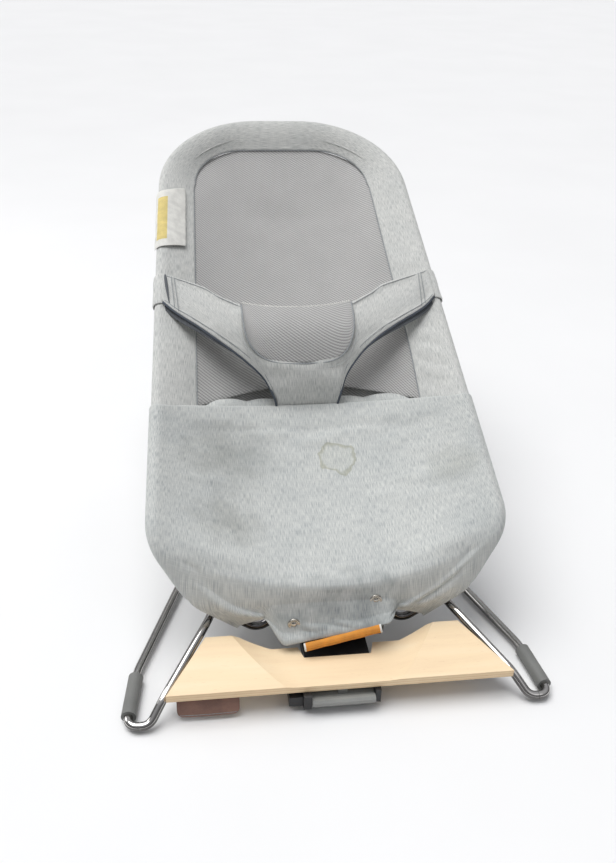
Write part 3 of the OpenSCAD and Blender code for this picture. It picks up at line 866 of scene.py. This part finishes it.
POCKET_W = 146
pocket_rows = []
for j in range(25):
    t = j / 24
    row = []
    for i in range(49):
        x = mix(-POCKET_W, POCKET_W, i / 48)
        k = min(1.0, abs(x) / POCKET_W)
        high = ridge(x) + vec(0, 7, -11)
        low = mesh_at(min(139, max(-139, x)), mesh_edge(min(139, max(-139, x))) + 2) - UP * 3
        dip = -34 * (1 - k**2) * math.sin(math.pi * t)
        row.append(mix(high, low, t) + vec(0, 0, dip + 1.2 * ripple(x * 0.06, t * 4)))
    pocket_rows.append(row)
pocket_cloth = grid("pocket_cloth", pocket_rows)
thicken(pocket_cloth, 2.2, offset=-1)
finish_piece(pocket_cloth, "mesh", "seat", "seat_pocket")

# Loose cloth that bunches up behind the ridge, in both leg holes.
for side, name in ((-1, "pocket_gather_left"), (1, "pocket_gather_right")):
    rows = []
    for j in range(13):
        t = j / 12
        row = []
        for i in range(37):
            s = i / 36
            x = side * mix(26, 146, s)
            rise = 5 + 7 * abs(math.sin(math.pi * (2.1 * s + 0.12))) ** 0.7
            rise *= math.sin(math.pi * min(1.0, 0.08 + s)) ** 0.4 if s < 0.92 else 0.75
            a = math.pi * mix(0.02, 0.95, t)
            base = ridge(x)
            row.append(base + vec(0, 4 + 13 * (1 - math.cos(a)), -8 + rise * math.sin(a)))
        rows.append(row)
    gather = grid(name, rows if side > 0 else [list(reversed(r)) for r in rows])
    thicken(gather, 1.8, offset=-1)
    finish_piece(gather, "weave", "seat")


# ---------- restraint strap ----------

KNOTS = [0, 0.15, 0.30, 0.42, 0.54, 0.66, 0.80, 0.92, 1.0]
TOP_X = [0, 38, 70, 88, 103, 118, 143, 165, 178]
TOP_U = [263, 266, 274, 284, 294, 307, 319, 329, 336]
LOW_X = [0, 20, 38, 52, 74, 98, 130, 161, 180]
LOW_U = [164, 164, 163, 185, 204, 221, 244, 268, 290]


def strap_height(x, u):
    """How far the strap stands out of the rails' plane."""
    line = 17 - 5 * (abs(x) / 176) ** 1.7
    fall = 12 * math.log1p(math.exp((221 - u) / 12)) * 66 / 61
    return line - fall


def strap_shift(x, u):
    """The middle of the strap is pulled a little to the left."""
    return -8 * smooth(u, 165, 220) * (1 - smooth(abs(x), 95, 172))


def strap_point(s, t):
    """s from -1 at the left rail to 1 at the right; t from the upper edge to the lower."""
    a = abs(s)
    x = mix(spline(KNOTS, TOP_X, a), spline(KNOTS, LOW_X, a), t) * (1 if s >= 0 else -1)
    u = mix(spline(KNOTS, TOP_U, a), spline(KNOTS, LOW_U, a), t)
    x += strap_shift(x, u)
    crown = 4 * math.sin(math.pi * t) ** 0.6 * (1 - smooth(a, 0.85, 1.0))
    soft = 0.7 * ripple(x * 0.05, u * 0.07, 1.0) * math.sin(math.pi * t)
    soft += 1.1 * math.sin(x * 0.24 + 0.03 * u) * (1 - smooth(a, 0.25, 0.4)) * smooth(t, 0.77, 0.9)
    p = seat(x, u, strap_height(x, u) + crown + soft)
    # The lower end is sewn in behind the ridge.
    tuck = (1 - smooth(a, 0.26, 0.34)) * smooth(t, 0.80, 1.0)
    return mix(p, ridge(x) + vec(0, 9, -16), tuck)


def strap_strip(name, spots, radius, look, sides=6):
    made = tube(name, spots, radius, sides)
    return finish_piece(made, look, "seat")


strap_rows = []
for j in range(25):
    strap_rows.append([strap_point(mix(1, -1, i / 96), j / 24) for i in range(97)])
strap_cloth = grid("strap_cloth", strap_rows)
strap_pins = []
for j in range(25):
    for i in range(97):
        border = min(j, 24 - j, i, 96 - i)
        strap_pins.append((j * 97 + i, 1.0 if border < 2 else 0.0))
settle(strap_cloth, strap_pins, frames=12, cap=3, growth=0.015)
thicken(strap_cloth, 3.6, offset=0)
finish_piece(strap_cloth, "weave_pale", "seat", "restraint_strap", "crotch_strap")


INSERT_W = 71


def insert_low(x):
    k = min(1.0, abs(x) / INSERT_W)
    return 272 - 78 * (1 - k**3.4) ** (1 / 4.1)


def insert_high(x):
    return 263.5 + 11 * (abs(x) / INSERT_W) ** 2


def on_insert(x, u, lift):
    """A point of the insert's face; x and u before the strap is pulled aside."""
    depth = 4.0 * math.sin(math.pi * min(1, max(0, (u - 160) / 108))) ** 0.6
    return seat(x + strap_shift(x, u), u, strap_height(x, u) + depth + 4.1 + lift)


insert_rows = []
for j in range(19):
    row = []
    for i in range(61):
        a = math.sin(math.pi / 2 * mix(-1, 1, i / 60))
        x = a * INSERT_W
        u = mix(insert_low(x), insert_high(x) + 1.0, j / 18)
        row.append(on_insert(x, u, 0))
    insert_rows.append(row)
strap_insert = grid("strap_insert", insert_rows)
thicken(strap_insert, 1.8, offset=-1)
finish_piece(strap_insert, "mesh", "seat", "strap_mesh")


curve = [math.sin(math.pi / 2 * mix(-1, 1, k / 100)) * INSERT_W for k in range(101)]
strap_strip("insert_seam", [on_insert(x, insert_low(x) - 0.5, -0.3) for x in curve], 1.1, "thread_dark")
stitch = [on_insert(x * 1.05, insert_low(x) - 5, -1.0) for x in curve[4:-4]]
strap_strip("insert_stitch", stitch, 0.35, "thread")
# The cut upper edge of the mesh shows as small teeth.
teeth = []
for k in range(101):
    x = mix(-70, 70, k / 100)
    teeth.append(on_insert(x, insert_high(x) + (1.3 if k % 2 else -0.6), -0.5))
strap_strip("insert_teeth", teeth, 0.8, "white")

for side, word in ((-1, "left"), (1, "right")):
    low = [strap_point(side * mix(0.30, 0.99, k / 60), 1.0) for k in range(61)]
    strap_strip("strap_binding_" + word, [p - ALONG * 1.2 - UP * 0.4 for p in low], 1.5, "binding")
    inner = [strap_point(side * mix(0.28, 0.98, k / 60), 0.93) + UP * 1.6 for k in range(61)]
    strap_strip("strap_stitch_" + word, inner, 0.5, "thread_dark")
    top = [strap_point(side * mix(0.32, 0.98, k / 50), 0.06) + UP * 1.5 for k in range(51)]
    strap_strip("strap_top_stitch_" + word, top, 0.45, "thread_dark")
    # The dark layer behind comes out below the strap and goes round the rail.
    rows = []
    for j in range(7):
        row = []
        for k in range(31):
            a = mix(0.50, 0.985, k / 30)
            p = strap_point(side * a, mix(0.80, 1.0, j / 6))
            grow = 8 * smooth(a, 0.5, 0.9) * j / 6
            row.append(p - UP * (3.2 + 2.5 * smooth(a, 0.5, 0.95)) - ALONG * grow)
        rows.append(row)
    if side > 0:
        rows = [list(reversed(r)) for r in rows]
    lining = grid("strap_lining_" + word, rows)
    thicken(lining, 1.6, offset=0)
    finish_piece(lining, "lining", "seat")
    # The end of the strap around the rail.
    rows = []
    for j in range(11):
        u = mix(286, 338, j / 10)
        p = seat(side * rail_w(u), u, 0)
        row = []
        for k in range(25):
            a = mix(math.radians(128), math.radians(-120), k / 24)
            r = WRAP_R + 1.6 + 0.3 * math.sin(3 * a + j)
            row.append(p + r * (side * math.cos(a) * vec(1, 0, 0) + math.sin(a) * UP))
        rows.append(row if side > 0 else list(reversed(row)))
    fold = grid("strap_fold_" + word, rows)
    thicken(fold, 1.8, offset=0)
    finish_piece(fold, "weave_pale", "seat", "strap_end_" + word)
    for n, inward in enumerate((14, 18)):
        stitch_s = side * (1 - inward / 190)
        line = [strap_point(stitch_s, mix(0.04, 0.96, k / 24)) + UP * 2.0 for k in range(25)]
        strap_strip(f"strap_end_stitch_{word}_{n}", line, 0.5, "thread_dark")


# The left end is folded loosely; its dark inside shows in the opening.
opening = [strap_point(-mix(0.975, 0.955, k / 20), mix(0, 0.9, k / 20)) + UP * 1.2 for k in range(21)]
swell = [0.5 + 1.7 * math.sin(math.pi * (k / 20) ** 0.6) for k in range(21)]
strap_strip("strap_opening", opening, swell, "lining")


# ---------- front flap ----------

cover_points = np.array([v.co for v in leg_cover.data.vertices]) / MM


def on_flap(x, z, out=0.0):
    """The point of the cover's front face at x and z, moved out by a little."""
    far = np.abs(cover_points[:, 0] - x) + np.abs(cover_points[:, 2] - z)
    far += 1e3 * (cover_points[:, 1] > HUB_Y - 12)
    near = cover_points[np.argsort(far)[:4]]
    return vec(x, near[:, 1].mean() - out, z)


# Radius and height of a snap's cap: a raised ring around a small dome.
SNAP_PROFILE = [
    (7.0, 0), (7.1, 0.9), (6.4, 1.7), (5.1, 1.9), (4.5, 1.1),
    (3.7, 0.8), (3.0, 1.6), (1.8, 2.2), (0.6, 2.3), (0.05, 2.3),
]

for side, word in ((-1, "left"), (1, "right")):
    at = on_flap(side * 46, HUB_Z + 26 + side * 9.5, 1.6)
    snap = lathe("snap_" + word, SNAP_PROFILE, at, (0, -1, 0.12))
    sub = snap.modifiers.new("round", "SUBSURF")
    sub.levels = sub.render_levels = 1
    finish_piece(snap, "nickel", "seat", "flap_snap_" + word)

label_a, label_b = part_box("rolled_label")
label_y = (label_a[1] + label_b[1]) / 2 / MM
ends = [vec(-37, label_y - 2.5, HUB_Z + 0.5), vec(49, label_y + 2.5, HUB_Z + 16.5)]
roll_rows = []
for j in range(41):
    p = mix(ends[0], ends[1], j / 40)
    way = unit(ends[1] - ends[0])
    side = vec(0, -1, 0)
    other = np.cross(way, side)
    row = []
    for k in range(29):
        a = mix(-0.5, 2 * math.pi * 1.15, k / 28)
        r = 4.6 - 0.9 * k / 28 + 0.15 * math.sin(j * 0.5)
        row.append(p + r * (math.cos(a) * side + math.sin(a) * other))
    roll_rows.append(row)
label_roll = grid("label_roll", roll_rows)
thicken(label_roll, 0.6, offset=0, levels=1)
finish_piece(label_roll, ("orange", "white"), "seat", "rolled_label")
for face in label_roll.data.polygons:
    strip = face.index // 28
    face.material_index = 1 if strip < 1 or strip > 38 else 0

# The blank label sewn on the left of the band.
LABEL_W = 55
label_rows = []
for j in range(17):
    u = mix(388, 500, j / 16)
    m = RAIL_SHARE * min(1.0, (u - SEAM_U + 12) / (RAIL_LEN - HEAD_R - SEAM_U + 12))
    band = [flip(q) for q in rim_row(rail_w(u), u, m)]
    rod = flip(seat(rail_w(u), u, 0))
    spots = np.array(band[8:22])
    far = lengths(spots)
    row = []
    for i in range(9):
        at = np.array([np.interp(mix(0, LABEL_W, i / 8), far, spots[:, k]) for k in range(3)])
        away = unit(at - rod)
        lift = unit(mix(away, UP, smooth(i, 1.5, 3.5)))
        row.append(at + lift * (2.5 + 0.2 * math.sin(j * 0.9)))
    label_rows.append(row)
side_label = grid("side_label_cloth", label_rows)
thicken(side_label, 0.5, offset=1)
finish_piece(side_label, ("white", "yellow"), "seat", "side_label")
for face in side_label.data.polygons:
    face.material_index = 1 if face.index % 8 in (1, 2) and 2 <= face.index // 8 < 14 else 0

# The leather tag under the board's edge, with rounded corners and a stitch line.
tag_low, tag_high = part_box("leather_tag")
tag_x = (tag_low[0] / MM, tag_high[0] / MM)
tag_top = vec(0, tag_low[1] / MM + 6.0, tag_high[2] / MM - 2)
tag_way = unit(vec(0, -7.0, -13.2))
tag_rows = []
for j in range(9):
    row = []
    for i in range(25):
        s, t = i / 24, j / 8
        cut = 5 * (1 - math.sqrt(max(0.0, 1 - max(0.0, (t - 0.6) / 0.4) ** 2)))
        x = mix(tag_x[0] + cut, tag_x[1] - cut, s)
        bow = 0.8 * math.sin(math.pi * s)
        row.append(vec(x, tag_top[1], tag_top[2]) + tag_way * 18.5 * t + vec(0, -bow, 0))
    tag_rows.append(row)
tag = grid("tag_leather", [list(reversed(r)) for r in tag_rows])
thicken(tag, 1.7, offset=0)
finish_piece(tag, "leather", "spring_frame", "leather_tag")
tag_edge = [vec(mix(tag_x[0] + 3, tag_x[1] - 3, k / 30), tag_top[1] - 0.9, tag_top[2]) + tag_way * 15.8
            + vec(0, -0.8 * math.sin(math.pi * k / 30), 0) for k in range(31)]
tag_stitch = tube("tag_stitch", tag_edge, 0.35, 6)
finish_piece(tag_stitch, "thread_dark", "spring_frame")


# ---------- finishes of the CAD nodes ----------

NODE_LOOKS = {
    "chrome": ["floor_rod", "spring_arm_rod"],
    "rubber": ["foot_sleeve_front_left", "foot_sleeve_front_right",
               "foot_sleeve_rear_left", "foot_sleeve_rear_right"],
    "wood": ["foot_board"],
    "steel": ["board_bracket_left", "board_bracket_right", "board_screws", "hub_screws", "lever_pin",
              "lever_spring", "latch_slide", "latch_spring", "hub_axle", "recline_ratchet"],
    "black": ["hub_housing", "hub_cover", "lever_bracket"],
    "grey": ["release_lever"],
    "disc": ["hub_disc_left", "hub_disc_right"],
    "dark_chrome": ["seat_rod"],
}
for look, nodes in NODE_LOOKS.items():
    for node in nodes:
        paint(frame["nodes"][node], LOOKS[look])


def soften(node, width, angle=30):
    """Takes the sharpness off a moulded or sanded piece's edges."""
    bevel = frame["nodes"][node].modifiers.new("edge", "BEVEL")
    bevel.width = width * MM
    bevel.segments = 3
    bevel.limit_method = "ANGLE"
    bevel.angle_limit = math.radians(angle)


soften("foot_board", 1.6, 20)
soften("hub_housing", 1.0, 40)
soften("lever_bracket", 1.2, 40)
soften("release_lever", 0.8, 40)
soften("hub_disc_left", 1.5, 40)
soften("hub_disc_right", 1.5, 40)


# ---------- floor, lights and camera ----------

FLOOR_HALF = 2e4
corners = [vec(a * FLOOR_HALF, b * FLOOR_HALF, 0) for a, b in ((-1, -1), (1, -1), (1, 1), (-1, 1))]
floor = make_object("floor", corners, [(0, 1, 2, 3)])
floor_look = Look("pale_floor", (0.86, 0.86, 0.86), 0.9)
patches = floor_look.noise(floor_look.place(), 3)
floor_look.colour(floor_look.ramp(patches, (0.3, (0.85, 0.85, 0.85)), (0.7, (0.87, 0.87, 0.87))))
paint(floor, floor_look.material)


def area_light(name, place, aim, size, power, colour=(1, 1, 1)):
    data = bpy.data.lights.new(name, "AREA")
    data.energy = power
    data.size = size
    data.color = colour
    made = bpy.data.objects.new(name, data)
    made.location = place
    made.rotation_euler = (Vector(aim) - Vector(place)).to_track_quat("-Z", "Y").to_euler()
    bpy.context.scene.collection.objects.link(made)


sun_data = bpy.data.lights.new("key_light", "SUN")
sun_data.energy = 2.35
sun_data.angle = math.radians(50)
sun = bpy.data.objects.new("key_light", sun_data)
sun.rotation_euler = Vector((0.25, -0.1, -1.0)).to_track_quat("-Z", "Y").to_euler()
bpy.context.scene.collection.objects.link(sun)
area_light("front_light", (0.9, -1.5, 1.6), (0, -0.1, 0.2), 1.0, 1.5)
area_light("rim_light", (-1.6, 0.6, 0.9), (0, 0, 0.2), 0.8, 5)

world = bpy.data.worlds.new("studio")
bpy.context.scene.world = world
world.use_nodes = True
tree = world.node_tree
back = tree.nodes["Background"]
coords = tree.nodes.new("ShaderNodeTexCoord")
split = tree.nodes.new("ShaderNodeSeparateXYZ")
tree.links.new(coords.outputs["Generated"], split.inputs[0])
fade = tree.nodes.new("ShaderNodeValToRGB")
fade.color_ramp.elements[0].position = 0.0
fade.color_ramp.elements[0].color = (0.03, 0.03, 0.032, 1)
fade.color_ramp.elements[1].position = 0.75
fade.color_ramp.elements[1].color = (0.95, 0.96, 1.0, 1)
tree.links.new(split.outputs["Z"], fade.inputs[0])
tree.links.new(fade.outputs["Color"], back.inputs["Color"])
back.inputs["Strength"].default_value = 0.45
sky = tree.nodes.new("ShaderNodeBackground")
sky.inputs["Color"].default_value = (0.98, 0.98, 0.98, 1)
paths = tree.nodes.new("ShaderNodeLightPath")
choose = tree.nodes.new("ShaderNodeMixShader")
tree.links.new(paths.outputs["Is Camera Ray"], choose.inputs[0])
tree.links.new(back.outputs[0], choose.inputs[1])
tree.links.new(sky.outputs[0], choose.inputs[2])
tree.links.new(choose.outputs[0], tree.nodes["World Output"].inputs["Surface"])

IMAGE_H = 863
FOCAL_PX = 930
SENSOR_W = 36
YAW, PITCH, ROLL = (math.radians(a) for a in (8.583, 29.989, 2.026))
EYE = vec(-154.15, -1077.61, 755.23)
ahead = vec(math.sin(YAW) * math.cos(PITCH), math.cos(YAW) * math.cos(PITCH), -math.sin(PITCH))
right = unit(np.cross(ahead, vec(0, 0, 1)))
upward = np.cross(right, ahead)
right, upward = (
    math.cos(ROLL) * right + math.sin(ROLL) * upward,
    math.cos(ROLL) * upward - math.sin(ROLL) * right,
)
camera_data = bpy.data.cameras.new("camera")
camera_data.sensor_width = SENSOR_W
camera_data.lens = FOCAL_PX * SENSOR_W / IMAGE_H
camera_data.clip_end = 100
camera = bpy.data.objects.new("camera", camera_data)
camera.matrix_world = Matrix([
    [right[0], upward[0], -ahead[0], EYE[0] * MM],
    [right[1], upward[1], -ahead[1], EYE[1] * MM],
    [right[2], upward[2], -ahead[2], EYE[2] * MM],
    [0, 0, 0, 1],
])
bpy.context.scene.collection.objects.link(camera)
bpy.context.scene.camera = camera

bpy.context.scene.view_settings.view_transform = "Standard"
